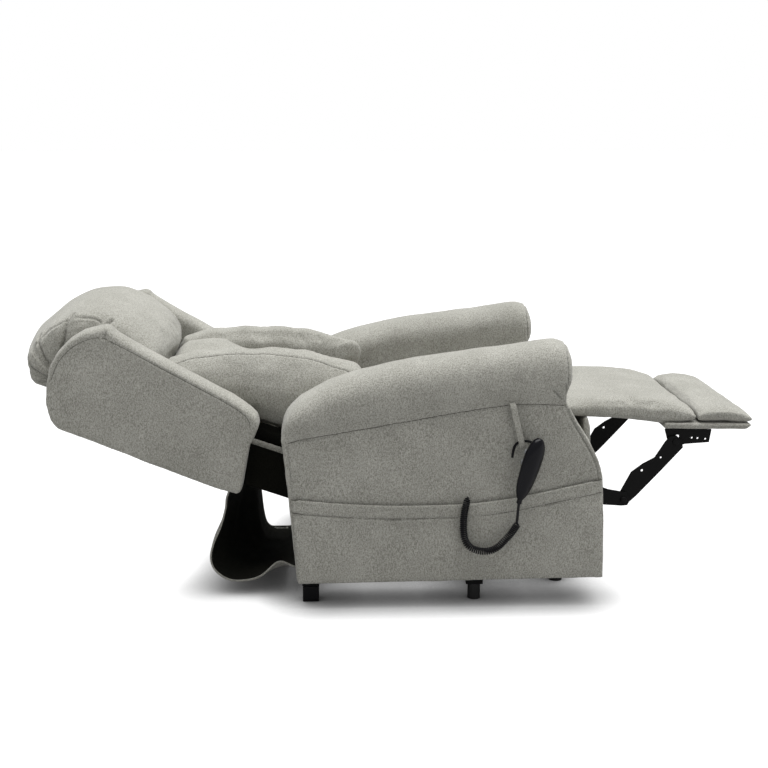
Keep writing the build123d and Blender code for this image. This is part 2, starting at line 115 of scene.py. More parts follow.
# ------------------------------------------------------------------ shader helpers
def feed(tree, socket, value):
    """Link a socket, or set it to a number or an RGB tuple."""
    if isinstance(value, bpy.types.NodeSocket):
        tree.links.new(value, socket)
    elif isinstance(value, tuple):
        socket.default_value = (*value, 1)
    else:
        socket.default_value = value


def new_material(name):
    material = bpy.data.materials.new(name)
    material.use_nodes = True
    tree = material.node_tree
    tree.nodes.clear()
    output = tree.nodes.new("ShaderNodeOutputMaterial")
    shader = tree.nodes.new("ShaderNodeBsdfPrincipled")
    tree.links.new(shader.outputs[0], output.inputs[0])
    return material, tree, shader


def object_position(tree):
    return tree.nodes.new("ShaderNodeTexCoord").outputs["Object"]


def calc(tree, operation, *values):
    node = tree.nodes.new("ShaderNodeMath")
    node.operation = operation
    for i, value in enumerate(values):
        feed(tree, node.inputs[i], value)
    return node.outputs[0]


def split_xyz(tree, vector):
    node = tree.nodes.new("ShaderNodeSeparateXYZ")
    tree.links.new(vector, node.inputs[0])
    return node.outputs


def stretch(tree, vector, scale):
    node = tree.nodes.new("ShaderNodeMapping")
    node.inputs["Scale"].default_value = scale
    tree.links.new(vector, node.inputs[0])
    return node.outputs[0]


def noise(tree, vector, scale, detail=2.0, rough=0.5):
    node = tree.nodes.new("ShaderNodeTexNoise")
    node.inputs["Scale"].default_value = scale
    node.inputs["Detail"].default_value = detail
    node.inputs["Roughness"].default_value = rough
    tree.links.new(vector, node.inputs["Vector"])
    return node.outputs["Fac"]


def ramp(tree, factor, stops):
    """Colour ramp through (position, RGB) stops."""
    node = tree.nodes.new("ShaderNodeValToRGB")
    elements = node.color_ramp.elements
    while len(elements) < len(stops):
        elements.new(0.5)
    for element, (position, colour) in zip(elements, stops):
        element.position = position
        element.color = (*colour, 1)
    tree.links.new(factor, node.inputs[0])
    return node.outputs[0]


def mix_colour(tree, factor, first, second, mode="MIX"):
    node = tree.nodes.new("ShaderNodeMix")
    node.data_type = "RGBA"
    node.blend_type = mode
    # inputs 6 and 7 are the colour A and B sockets
    for i, value in ((0, factor), (6, first), (7, second)):
        feed(tree, node.inputs[i], value)
    return node.outputs[2]


def add_bump(tree, shader, height, strength, distance):
    node = tree.nodes.new("ShaderNodeBump")
    node.inputs["Strength"].default_value = strength
    node.inputs["Distance"].default_value = distance
    tree.links.new(height, node.inputs["Height"])
    tree.links.new(node.outputs[0], shader.inputs["Normal"])


# ------------------------------------------------------------------ materials
def fabric(name, dark, light, weave=0.9, relief=0.25, sheen=0.0, specular=0.05):
    """Coarse heather cloth: mottled yarns, plain weave relief (mm), painted shade along seams
    and folds.
    """
    material, tree, shader = new_material(name)
    position = object_position(tree)
    geometry = tree.nodes.new("ShaderNodeNewGeometry")
    axes = split_xyz(tree, position)
    facing = split_xyz(tree, geometry.outputs["True Normal"])

    # plain weave: a product of two sines on each axis plane, weighted by how it faces
    frequency = 2 * math.pi / (weave * 0.001)
    wobble = calc(tree, "MULTIPLY", noise(tree, position, scale=60), 9.0)
    sines = [calc(tree, "SINE", calc(tree, "MULTIPLY_ADD", axes[i], frequency, wobble))
             for i in range(3)]
    weights = [calc(tree, "POWER", calc(tree, "ABSOLUTE", facing[i]), 3) for i in range(3)]
    planes = [calc(tree, "MULTIPLY", calc(tree, "MULTIPLY", sines[a], sines[b]), weights[i])
              for i, (a, b) in enumerate(((1, 2), (0, 2), (0, 1)))]
    woven = calc(tree, "ADD", calc(tree, "ADD", planes[0], planes[1]), planes[2])

    # yarn tone: blotches, short vertical slubs, fine specks and a little of the weave
    yarn = noise(tree, position, scale=380, rough=0.6)
    speck = noise(tree, position, scale=1300, rough=0.6)
    slub = noise(tree, stretch(tree, position, (1.0, 1.0, 0.32)), scale=560, rough=0.6)
    tone = calc(tree, "ADD", calc(tree, "MULTIPLY", yarn, 0.42),
                calc(tree, "MULTIPLY", slub, 0.38))
    tone = calc(tree, "ADD", tone, calc(tree, "MULTIPLY", speck, 0.2))
    tone = calc(tree, "ADD", tone, calc(tree, "MULTIPLY", woven, 0.035))
    middle = tuple((a + b) / 2 for a, b in zip(dark, light))
    colour = ramp(tree, tone, [(0.40, dark), (0.50, middle), (0.60, light)])
    broad = noise(tree, position, scale=11, detail=3, rough=0.55)
    shade = ramp(tree, broad, [(0.3, (0.90, 0.90, 0.89)), (0.7, (1.06, 1.06, 1.06))])
    colour = mix_colour(tree, 1.0, colour, shade, "MULTIPLY")

    # the seam attribute written by press_seams() darkens the seams and folds: painted shade in
    # their grooves
    attribute = tree.nodes.new("ShaderNodeAttribute")
    attribute.attribute_name = "seam"
    seam_shade_amount = calc(tree, "MULTIPLY", attribute.outputs["Fac"], 0.6)
    colour = mix_colour(tree, seam_shade_amount, colour, tuple(c * 0.22 for c in dark))
    tree.links.new(colour, shader.inputs["Base Color"])
    shader.inputs["Roughness"].default_value = 0.93
    shader.inputs["Sheen Weight"].default_value = sheen
    shader.inputs["Sheen Roughness"].default_value = 0.5
    shader.inputs["Specular IOR Level"].default_value = specular
    height = calc(tree, "ADD", calc(tree, "MULTIPLY", woven, 0.5),
                  calc(tree, "MULTIPLY", tone, 1.6))
    add_bump(tree, shader, height, strength=relief, distance=0.0009)
    return material


def hard(name, colour, rough, metal=0.0, bump=0.2, grain=900, vary=0.1, specular=0.5):
    """Metal, plastic or rubber, its colour varied by +-vary in broad patches."""
    material, tree, shader = new_material(name)
    position = object_position(tree)
    fine = noise(tree, position, scale=grain, detail=3)
    broad = noise(tree, position, scale=18, detail=4, rough=0.6)
    low = tuple(c * (1 - vary) for c in colour)
    high = tuple(min(1, c * (1 + vary)) for c in colour)
    tree.links.new(ramp(tree, broad, [(0.3, low), (0.7, high)]), shader.inputs["Base Color"])
    roughness = calc(tree, "MULTIPLY_ADD", broad, 0.22, rough - 0.11)
    tree.links.new(roughness, shader.inputs["Roughness"])
    shader.inputs["Metallic"].default_value = metal
    shader.inputs["Specular IOR Level"].default_value = specular
    add_bump(tree, shader, fine, strength=bump, distance=0.0004)
    return material


def wood(name):
    """Pale timber with grain running along x."""
    material, tree, shader = new_material(name)
    grain = noise(tree, stretch(tree, object_position(tree), (3, 60, 60)),
                  scale=3, detail=5, rough=0.6)
    colour = ramp(tree, grain, [(0.35, (0.42, 0.28, 0.15)), (0.55, (0.62, 0.46, 0.28)),
                                (0.7, (0.70, 0.55, 0.36))])
    tree.links.new(colour, shader.inputs["Base Color"])
    shader.inputs["Roughness"].default_value = 0.7
    add_bump(tree, shader, grain, strength=0.25, distance=0.0006)
    return material


CLOTH = fabric("heather_cloth", dark=(0.215, 0.212, 0.184), light=(0.485, 0.478, 0.436),
               weave=1.5, relief=0.35, sheen=0.22, specular=0.22)
LINING = fabric("black_lining_cloth", dark=(0.004, 0.004, 0.003), light=(0.010, 0.010, 0.008))
FLAP_LINING = fabric("flap_lining_cloth", dark=(0.011, 0.011, 0.009),
                     light=(0.028, 0.028, 0.023))
STEEL = hard("powder_black", (0.005, 0.005, 0.005), rough=0.46, bump=0.18, vary=0.2,
             specular=0.12)
ZINC = hard("zinc", (0.62, 0.62, 0.60), rough=0.33, metal=1.0, bump=0.08, grain=700,
            vary=0.08)
SPRING = hard("oiled_wire", (0.18, 0.18, 0.19), rough=0.4, metal=1.0, bump=0.06, grain=600)
PLASTIC = hard("black_moulding", (0.007, 0.007, 0.008), rough=0.5, bump=0.22, grain=1400,
               vary=0.15, specular=0.12)
GLOSS = hard("gloss_black", (0.004, 0.004, 0.006), rough=0.24, bump=0.02, grain=300,
             specular=0.2)
KEY = hard("key_rubber", (0.22, 0.23, 0.24), rough=0.6, bump=0.15, grain=1500)
RUBBER = hard("rubber", (0.018, 0.018, 0.018), rough=0.75, vary=0.15)
CABLE = hard("cable_sheath", (0.005, 0.005, 0.006), rough=0.4, bump=0.05, specular=0.25)
# painted shade: dark cords laid along seams stand in for the shade in their grooves
SEAM_SHADE = hard("seam_shade_line", (0.060, 0.058, 0.050), rough=0.9, grain=2500, vary=0.2,
            specular=0.1)
TIMBER = wood("planed_timber")
THREAD = hard("thread", (0.20, 0.195, 0.17), rough=0.8, bump=0.3, grain=2500, vary=0.2)
SLOT_MATERIALS = {
    "heather_fabric": CLOTH, "black_lining": LINING, "black_steel": STEEL,
    "zinc_steel": ZINC, "spring_steel": SPRING, "timber": TIMBER, "black_plastic": PLASTIC,
    "gloss_black": GLOSS, "key_grey": KEY, "black_rubber": RUBBER, "black_cable": CABLE}

slot_of = {part["node"]: part["material_slot"] for part in frame["record"]["subparts"]}
for node_name, node_object in frame["nodes"].items():
    node_material = SLOT_MATERIALS[slot_of[node_name]]
    if len(node_object.material_slots) == 0:
        node_object.data.materials.append(node_material)
    for material_slot in node_object.material_slots:
        material_slot.material = node_material


# ------------------------------------------------------------------ shapes: (vertices, faces)
def make(name, shape, material=CLOTH):
    vertices, faces = shape
    mesh = bpy.data.meshes.new(name)
    mesh.from_pydata([tuple(p) for p in to_world(vertices)], [], faces)
    mesh.update()
    ob = bpy.data.objects.new(name, mesh)
    bpy.context.scene.collection.objects.link(ob)
    mesh.materials.append(material)
    for polygon in mesh.polygons:
        polygon.use_smooth = True
    return ob


def prism(outline, y0, y1):
    """An (x, z) outline carried from y0 to y1."""
    n = len(outline)
    faces = [list(range(n)), list(range(2 * n - 1, n - 1, -1))]
    for i in range(n):
        j = (i + 1) % n
        faces.append([i, i + n, j + n, j])
    return at_y(outline, y0) + at_y(outline, y1), faces


def loft(sections, capped=True):
    """Skin over closed sections with equal point counts."""
    n = len(sections[0])
    vertices = [tuple(p) for section in sections for p in section]
    faces = []
    for k in range(len(sections) - 1):
        for i in range(n):
            j = (i + 1) % n
            faces.append([k * n + i, k * n + j, (k + 1) * n + j, (k + 1) * n + i])
    if capped:
        faces.append(list(range(n - 1, -1, -1)))
        last = (len(sections) - 1) * n
        faces.append([last + i for i in range(n)])
    return vertices, faces


def join(*shapes):
    vertices, faces = [], []
    for part_vertices, part_faces in shapes:
        start = len(vertices)
        vertices += part_vertices
        faces += [[i + start for i in face] for face in part_faces]
    return vertices, faces


def grid_faces(rows, columns):
    corners = [j * columns + i for j in range(rows - 1) for i in range(columns - 1)]
    return [[a, a + 1, a + columns + 1, a + columns] for a in corners]


def tangents(path):
    steps = np.gradient(path, axis=0)
    return steps / np.linalg.norm(steps, axis=1)[:, None]


def cord(path, radius, sides=8):
    """Round cord along a path, its sections carried along without twist."""
    path = np.asarray(path, float)
    along = tangents(path)
    reference = np.array([0.0, 1.0, 0.0])
    if abs(along[0] @ reference) > 0.9:
        reference = np.array([1.0, 0.0, 0.0])
    across = np.cross(along[0], reference)
    across /= np.linalg.norm(across)
    sections = []
    for point, tangent in zip(path, along):
        across = across - tangent * (across @ tangent)
        across /= np.linalg.norm(across)
        third = np.cross(tangent, across)
        angles = [2 * math.pi * k / sides for k in range(sides)]
        sections.append([point + radius * (across * math.cos(a) + third * math.sin(a))
                         for a in angles])
    return loft(sections)


def resample(points, step):
    points = np.asarray(points, float)
    lengths = np.linalg.norm(np.diff(points, axis=0), axis=1)
    distance = np.concatenate([[0], np.cumsum(lengths)])
    count = max(2, int(distance[-1] / step) + 1)
    wanted = np.linspace(0, distance[-1], count)
    return np.stack([np.interp(wanted, distance, points[:, k])
                     for k in range(points.shape[1])], axis=1)


def spline(points, step):
    """Catmull-Rom through the points, resampled evenly."""
    p = np.asarray(points, float)
    p = np.vstack([2 * p[0] - p[1], p, 2 * p[-1] - p[-2]])
    curve = []
    for i in range(1, len(p) - 2):
        a, b, c, d = p[i - 1], p[i], p[i + 1], p[i + 2]
        for t in np.linspace(0, 1, 12, endpoint=False):
            curve.append(0.5 * ((2 * b) + (-a + c) * t + (2 * a - 5 * b + 4 * c - d) * t * t
                                + (-a + 3 * b - 3 * c + d) * t ** 3))
    curve.append(p[-2])
    return resample(curve, step)


# ------------------------------------------------------------------ mesh editing
def evaluated(ob):
    depsgraph = bpy.context.evaluated_depsgraph_get()
    return bpy.data.meshes.new_from_object(ob.evaluated_get(depsgraph))


def apply_modifiers(ob):
    mesh = evaluated(ob)
    materials = [slot.material for slot in ob.material_slots]
    ob.modifiers.clear()
    old = ob.data
    ob.data = mesh
    bpy.data.meshes.remove(old)
    if len(mesh.materials) == 0:
        for material in materials:
            mesh.materials.append(material)
    mesh.polygons.foreach_set("use_smooth", [True] * len(mesh.polygons))
    mesh.update()


def add_smooth(ob, passes):
    modifier = ob.modifiers.new("s", "SMOOTH")
    modifier.factor = 0.5
    modifier.iterations = passes


def add_solidify(ob, thickness, offset=0):
    modifier = ob.modifiers.new("t", "SOLIDIFY")
    modifier.thickness = thickness / 1000.0
    modifier.offset = offset


def cover(name, shape, voxel, smooth):
    """A closed shape fused by voxel remeshing (mm), then smoothed."""
    ob = make(name, shape)
    modifier = ob.modifiers.new("r", "REMESH")
    modifier.mode = "VOXEL"
    modifier.voxel_size = voxel / 1000.0
    modifier.adaptivity = 0.0
    add_smooth(ob, smooth)
    apply_modifiers(ob)
    return ob


def refine(ob):
    """One subdivision."""
    modifier = ob.modifiers.new("d", "SUBSURF")
    modifier.levels = 1
    modifier.render_levels = 1
    modifier.subdivision_type = "CATMULL_CLARK"
    apply_modifiers(ob)


def vertex_array(mesh, field):
    values = np.empty(len(mesh.vertices) * 3)
    mesh.vertices.foreach_get(field, values)
    return values.reshape(-1, 3)


def points_of(ob):
    return from_world(vertex_array(ob.data, "co"))


def normals_of(ob):
    return vertex_array(ob.data, "normal")


def set_points(ob, points):
    ob.data.vertices.foreach_set("co", to_world(points).ravel())
    ob.data.update()


def push_out(ob, amount):
    """Move vertices along their normals by one amount, or one each."""
    set_points(ob, points_of(ob) + normals_of(ob) * np.reshape(amount, (-1, 1)))


def nearest_on_line(points, line):
    """Distance to a polyline, and how far along it the nearest place is."""
    line = np.asarray(line, float)
    best = np.full(len(points), 1e9)
    along = np.zeros(len(points))
    passed = 0.0
    for a, b in zip(line[:-1], line[1:]):
        ab = b - a
        length = np.linalg.norm(ab)
        t = np.clip(((points - a) @ ab) / (length * length), 0, 1)
        distance = np.linalg.norm(points - (a + t[:, None] * ab), axis=1)
        closer = distance < best
        best[closer] = distance[closer]
        along[closer] = passed + t[closer] * length
        passed += length
    return best, along


def seam(line, depth, width, pucker=0.0):
    return line, depth, width, pucker


def side_seams(outline, y, **sizes):
    """The same (x, z) seam on the right and left."""
    return [seam(at_y(outline, side * y), **sizes) for side in SIDES]


def press_seams(ob, seams):
    """Press seams into the surface and mark them for the cloth shader, which paints shade along
    them.
    """
    points = points_of(ob)
    painted_groove_shade = np.zeros(len(points))
    sink = np.zeros(len(points))
    for line, depth, width, pucker in seams:
        distance, along = nearest_on_line(points, line)
        # a trough, a raised lip on each side and puckers along it
        press = depth * np.exp(-(distance / width) ** 2)
        press -= 0.35 * depth * np.exp(-((distance - 2.3 * width) / (1.1 * width)) ** 2)
        press += (pucker * np.sin(along * 0.42 + 1.3 * np.sin(along * 0.11))
                  * np.exp(-(distance / (2.6 * width)) ** 2))
        stronger = (distance < width * 6) & (np.abs(press) > np.abs(sink))
        sink = np.where(stronger, press, sink)
        # painted shade along the line, strongest at its middle and fading to each side
        groove_shade = np.exp(-(distance / (0.55 * width)) ** 2) * min(1.0, depth / 2.0)
        painted_groove_shade = np.maximum(painted_groove_shade, groove_shade)
    push_out(ob, -sink)
    ob.data.attributes.new("seam", "FLOAT", "POINT").data.foreach_set("value", painted_groove_shade)


def uneven(ob, seed, height, scale):
    """Smooth repeatable unevenness from seven random sines; scale is the wavelength."""
    points = points_of(ob)
    rng = np.random.RandomState(seed)
    count = 7
    total = np.zeros(len(points))
    for _ in range(count):
        direction = rng.normal(size=3)
        direction /= np.linalg.norm(direction)
        frequency = 2 * math.pi / (scale * rng.uniform(0.6, 1.7))
        total += np.sin(points @ direction * frequency + rng.uniform(0, 6.28))
    push_out(ob, total / math.sqrt(count) * height)


def inflate(jobs, frames=20):
    """Inflate pads together as cloth; jobs are (object, pressure, cap in mm)."""
    scene = bpy.context.scene
    for ob, pressure, _ in jobs:
        modifier = ob.modifiers.new("c", "CLOTH")
        settings = modifier.settings
        settings.quality = 5
        settings.mass = 0.3
        settings.tension_stiffness = 12
        settings.compression_stiffness = 12
        settings.shear_stiffness = 6
        settings.bending_stiffness = 0.4
        settings.use_pressure = True
        settings.uniform_pressure_force = pressure
        settings.effector_weights.gravity = 0
        modifier.collision_settings.use_collision = False
        modifier.collision_settings.use_self_collision = False
        modifier.point_cache.frame_start = 1
        modifier.point_cache.frame_end = frames
    scene.frame_start = 1
    scene.frame_end = frames
    for number in range(1, frames + 1):
        scene.frame_set(number)
    inflated = []
    for ob, _, _ in jobs:
        mesh = evaluated(ob)
        inflated.append(from_world(vertex_array(mesh, "co")))
        bpy.data.meshes.remove(mesh)
    # no vertex moves further than its pad's cap
    for (ob, _, cap), blown in zip(jobs, inflated):
        ob.modifiers.clear()
        start = points_of(ob)
        move = blown - start
        length = np.linalg.norm(move, axis=1)
        keep = np.where(length > 1e-6,
                        cap * np.tanh(length / cap) / np.maximum(length, 1e-6), 1.0)
        set_points(ob, start + move * keep[:, None])
    scene.frame_set(1)


def mirrored(ob, name):
    """A copy on the other side of the chair."""
    twin = ob.copy()
    twin.data = ob.data.copy()
    twin.name = name
    bpy.context.scene.collection.objects.link(twin)
    points = points_of(twin)
    points[:, 1] *= -1
    set_points(twin, points)
    twin.data.flip_normals()
    twin.data.update()
    return twin


def snap(ob, line, lift=0.0):
    """Points moved to the nearest surface and lifted off it, and the normals there."""
    points, normals = [], []
    for point in np.asarray(line, float):
        normal = np.array([0, 0, 1.0])
        found, place, face_normal, _ = ob.closest_point_on_mesh(Vector(to_world(point)))
        if found:
            normal = np.array(face_normal)
            point = from_world(np.array(place)) + normal * lift
        points.append(point)
        normals.append(normal)
    return points, normals


# ------------------------------------------------------------------ dressing, and attaching pieces to the bodies
def attach(ob, body, *replaced, slot="heather_fabric"):
    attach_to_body(ob, body)
    if replaced:
        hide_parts(*replaced)


def seam_shade_line(name, ob, line, radius, body):
    """Painted shade: a dark cord laid along the surface where two cloth panels meet, for the
    shade in the seam's groove.
    """
    path = resample(snap(ob, resample(line, 4.0))[0], 3.5)
    for _ in range(2):
        path[1:-1] = 0.25 * path[:-2] + 0.5 * path[1:-1] + 0.25 * path[2:]
    attach(make(name, cord(path, radius, sides=6), SEAM_SHADE), body)


def stitches(name, ob, line, body, pitch=5.2, length=3.4, radius=0.5):
    """A row of short thread stitches lying on a cloth surface."""
    points, normals = snap(ob, resample(line, pitch), lift=0.25)
    threads = []
    for start, following, normal in zip(points, points[1:], normals):
        gap = np.linalg.norm(following - start)
        if gap < 1e-6 or gap > pitch * 3:
            continue
        end = start + (following - start) * (length / gap)
        crown = (start + end) / 2 + normal * 0.35
        path = [start - normal * 0.5, crown, end - normal * 0.5]
        threads.append(cord(path, radius, sides=5))
    attach(make(name, join(*threads), THREAD), body)


def finish_pair(part, left, right, line, radius, body):
    """Painted shade lines along the seams of a left and right cover (line is the left one),
    then the covers.
    """
    seam_shade_line(part + "_left_shade_line", left, line, radius, body)
    seam_shade_line(part + "_right_shade_line", right, [(x, -y, z) for x, y, z in line], radius, body)
    attach(left, body, part + "_left")
    attach(right, body, part + "_right")


# ------------------------------------------------------------------ arms
# x, z along the top of the arm roll
RIDGE_X, RIDGE_Z = np.array([
    (-388, 436), (-381, 464), (-350, 493), (-285, 530), (-200, 560), (-91, 584),
    (104, 609), (186, 621), (236, 628), (264, 622), (284, 605)], float).T
# x, z along the seam under the roll
SEAM_X, SEAM_Z = np.array([
    (-388, 394), (-363, 399), (-200, 427), (-48, 453), (60, 471), (139, 482),
    (256, 481), (290, 480)], float).T
# x, z outline of the flat side panel
ARM_PANEL = [
    (-352, 60), (0, 64), (357, 69), (361, 74), (359, 160), (357, 258), (354, 315),
    (343, 350), (318, 399), (291, 440), (273, 477), (263, 490), (240, 510), (-100, 490),
    (-330, 420), (-386, 425), (-388, 405), (-372, 240), (-356, 64)]
# x, section scale along the roll
ROLL_STATIONS = [
    (-389, .42), (-387, .60), (-383, .74), (-376, .86), (-364, .95), (-345, 1),
    *[(x, 1) for x in range(-310, 240, 28)],
    (242, 1), (254, .985), (263, .95), (270, .89), (275, .80), (279, .68), (281, .5)]
ARM_INNER_Y, ARM_OUTER_Y = 258.0, 399.0
ROLL_Y, ROLL_HALF_WIDTH = 337.0, 77.0
ROLL_END_Z = 552                            # middle of the roll's front end


def roll_section(x, scale):
    top = float(np.interp(x, RIDGE_X, RIDGE_Z))
    low = float(np.interp(x, SEAM_X, SEAM_Z))
    middle = low + 0.5 * (top - low)
    rise = top - middle
    section = []
    for i in range(15):
        t = math.pi * i / 14
        section.append((ROLL_Y + ROLL_HALF_WIDTH * math.cos(t),
                        middle + rise * math.sin(t) ** 0.92))
    section += [(ARM_INNER_Y + 1, middle - 0.5 * rise), (ARM_INNER_Y + 2, low - 6),
                (300, low - 12), (360, low - 10), (396, low - 4), (401, low + 6),
                (408, low + 0.28 * (middle - low) + 6),
                (412.5, low + 0.62 * (middle - low))]
    return [(x, ROLL_Y + (y - ROLL_Y) * scale, middle + (z - middle) * scale)
            for y, z in section]


def roll_seam(x_start, count, y):
    """Points just above the seam under the roll, to where the neck starts."""
    x_values = np.linspace(x_start, 258, count)
    return [(x, y, z + 1) for x, z in zip(x_values, np.interp(x_values, SEAM_X, SEAM_Z))]


def roll_end(x, t, half_width, half_height):
    return x, ROLL_Y + half_width * math.cos(t), ROLL_END_Z + half_height * math.sin(t)


arm_shape = join(prism(ARM_PANEL, ARM_INNER_Y, ARM_OUTER_Y),
                 loft([roll_section(x, scale) for x, scale in ROLL_STATIONS]))
arm_left = cover("arm_left_cover", arm_shape, voxel=VOXEL, smooth=5)
refine(arm_left)
# draw the front in to a neck below the roll: furthest x at each height
points = points_of(arm_left)
limit = np.interp(points[:, 2], [462, 476, 488, 507, 524, 541, 562],
                  [290, 272, 264, 263.5, 268, 277, 290])
neck = (points[:, 2] > 470) & (points[:, 2] < 560) & (points[:, 0] > 240)
beyond = np.maximum(points[neck, 0] - limit[neck], 0)
points[neck, 0] = np.minimum(points[neck, 0], limit[neck] + 0.15 * beyond)
set_points(arm_left, points)

# x, z down the front edge of the side panel
front_edge = spline([(262, 480), (278, 446), (304, 402), (328, 360), (341, 320), (346, 260),
                     (349, 160), (350, 74)], 12)
cap_ring = [roll_end(266, -0.35 + (math.pi + 0.7) * i / 24, 71, 64) for i in range(25)]
arm_seams = [
    seam(roll_seam(-380, 60, y=403), depth=3.6, width=3.0, pucker=0.45),
    seam(at_y(front_edge, 400), depth=2.2, width=3.0, pucker=0.4),
    seam([(x - 6, 262, z) for x, z in front_edge], depth=2.0, width=3.0, pucker=0.3),
    seam([(-374, 400, 390), (-360, 400, 240), (-345, 400, 66)],
         depth=1.6, width=3.0, pucker=0.3),
    seam(cap_ring, depth=2.2, width=3.0, pucker=0.5)]
# gathers fanning out of the neck: x, z at each end
for start, end in (((258, 483), (222, 497)), ((260, 487), (232, 520)),
                   ((262, 478), (247, 446)), ((264, 490), (262, 530))):
    arm_seams.append(seam([(start[0], 403, start[1]), (end[0], 409, end[1])],
                          depth=1.7, width=5.0))
# short radial folds around the roll's front end
for t in (0.35, 0.9, 1.45, 2.1, 2.7):
    arm_seams.append(seam([roll_end(284, t, 60, 54), roll_end(272, t, 74, 66)],
                          depth=1.6, width=3.2))
uneven(arm_left, seed=3, height=0.9, scale=160)
uneven(arm_left, seed=4, height=0.35, scale=45)
press_seams(arm_left, arm_seams)
arm_right = mirrored(arm_left, "arm_right_cover")
finish_pair("arm", arm_left, arm_right, roll_seam(-374, 80, y=404), 0.7, "seat_unit")

# ------------------------------------------------------------------ wings
# u, v outline
WING = [
    (-1, -3), (39, -6), (113, -3), (285, 7), (437, 14), (459, 29), (479, 60), (491, 100),
    (496, 150), (489, 186), (471, 225), (449, 252), (424, 268), (401, 280), (379, 273),
    (336, 268), (273, 256), (178, 239), (83, 222), (36, 208), (13, 197), (1, 178), (3, 146),
    (7, 119), (1, 71), (-8, 5)]
# y, how far the top edge drops there
WING_STATIONS = [(272, 22), (277, 11), (288, 3.5), (305, 0), (322, 0.5), (334, 3.5),
                 (341, 8), (345, 14)]
# u, v outline of the block joining the wing to the back
WING_BLOCK = [(8, 6), (425, 20), (450, 36), (466, 68), (474, 120), (10, 120)]
# u, v of the border seam on the outer face
WING_BORDER = [
    (484, 120), (480, 165), (462, 205), (440, 230), (418, 245), (398, 252), (378, 248),
    (336, 242), (273, 230), (178, 213), (86, 196), (46, 185), (26, 172), (19, 158)]


def wing_section(y, edge_drop):
    section = []
    for u, v in WING:
        drop = edge_drop * unit((v - 90) / 110)
        if v > 140:
            drop += 7.0 * unit((392 - u) / 50)
        section.append(back_xyz(u, y, v - drop))
    return section


wing_shape = join(loft([wing_section(y, drop) for y, drop in WING_STATIONS]),
                  prism(back_outline(WING_BLOCK), 251, 280))
wing_left = cover("wing_left_cover", wing_shape, voxel=VOXEL, smooth=4)
refine(wing_left)
# crown the outer face
points = points_of(wing_left)
u_values, v_values = back_coords(points)
crown = (np.clip(1 - ((u_values - 240) / 260) ** 2, 0, 1)
         * np.clip(1 - ((v_values - 120) / 150) ** 2, 0, 1))
points[:, 1] += np.where(normals_of(wing_left)[:, 1] > 0.5, 5.0 * crown, 0)
set_points(wing_left, points)
wing_border = at_y(spline(back_outline(WING_BORDER), 12), 348)
uneven(wing_left, seed=11, height=0.7, scale=130)
press_seams(wing_left, [
    seam(wing_border, depth=0.9, width=2.2, pucker=0.25),
    seam([back_xyz(u, 347, v) for u, v in ((402, 281), (398, 262), (396, 252))],
         depth=3.0, width=4.0),
    seam([back_xyz(400, y, 282) for y in (275, 300, 345)], depth=2.0, width=4.0)])
wing_right = mirrored(wing_left, "wing_right_cover")
# the padding of the left wing sits a little fuller along its top
points = points_of(wing_left)
lift = 8.0 * np.clip((back_coords(points)[1] - 150) / 60, 0, 1)
points[:, 0] += BACK_V[0] * lift
points[:, 2] += BACK_V[1] * lift
set_points(wing_left, points)
finish_pair("wing", wing_left, wing_right, wing_border, 0.45, "backrest")

# ------------------------------------------------------------------ back cushions
# u, v outline of the head cushion
HEAD = [
    (240, 232), (249, 254), (300, 277), (361, 300), (436, 307), (498, 284), (548, 230),
    (583, 172), (590, 126), (578, 80), (552, 48), (522, 50), (500, 80), (484, 126),
    (300, 128), (264, 150), (272, 186), (254, 208)]
HEAD_CENTRE = (462.0, 128.0)
# u, v outline of the lumbar cushion
LUMBAR = [(-56, 126), (246, 126), (254, 200), (238, 228), (195, 250), (150, 260),
          (90, 254), (0, 226), (-48, 184)]
# top of the bolster: v at each u
CREST_U = [-208, -198, -180, -139, -83, -54, -16, 32, 80, 118, 171, 201, 219, 262]
CREST_V = [330, 348, 360, 360, 358, 356, 348, 336, 319, 308, 281, 269, 254, 222]
BOLSTER_Y = 200


def head_section(t):
    """Section at t from the right end (-1) to the left (1)."""
    a = abs(t)
    scale = 1 - 0.19 * a ** 2 - 0.05 * a ** 5
    if a > 0.93:
        scale *= 1 - 0.30 * ((a - 0.93) / 0.07) ** 1.6
    u0, v0 = HEAD_CENTRE
    return [back_xyz(u0 + (u - u0) * scale, 262 * t, v0 + (v - v0) * scale)
            for u, v in HEAD]


def crest(u):
    return float(np.interp(u, CREST_U, CREST_V))


def bolster_section(u):
    """Section across the left bolster, tapering to its lower end."""
    top = crest(u)
    grown = unit((u + 206) / 46.0)
    low = float(np.interp(u, [20, 120], [150, 128]))
    if u < -160:
        low = low + (1 - grown ** 0.55) * (300 - low)
    width = 1 - 0.5 * (1 - grown) ** 2
    h = top - low
    section = [
        (234, low), (249, low + 0.2 * h), (252, low + 0.48 * h), (243, top - 0.34 * h),
        (220, top - 0.17 * h), (192, top - 0.06 * h), (166, top), (149, top - 0.05 * h),
        (139, top - 0.26 * h), (138, low + 0.3 * h), (144, low + 0.02 * h)]
    return [back_xyz(u, BOLSTER_Y + (y - BOLSTER_Y) * width, v) for y, v in section]


def lumbar_section(t):
    a = abs(t)
    narrow = 1 - 0.10 * a ** 3
    thin = 1.06 - 0.36 * a ** 2.4
    return [back_xyz(90 + (u - 90) * narrow, 128 * t, 126 + (v - 126) * thin)
            for u, v in LUMBAR]


head = cover("head_cushion_cover", loft([head_section(t) for t in np.linspace(-1, 1, 37)]),
             voxel=VOXEL + 1, smooth=4)
bolster = cover("bolster_left_cover",
                loft([bolster_section(u) for u in np.linspace(-206, 260, 44)]),
                voxel=VOXEL, smooth=3)
lumbar = cover("lumbar_cushion_cover",
               loft([lumbar_section(t) for t in np.linspace(-1, 1, 21)]),
               voxel=VOXEL + 1, smooth=3)

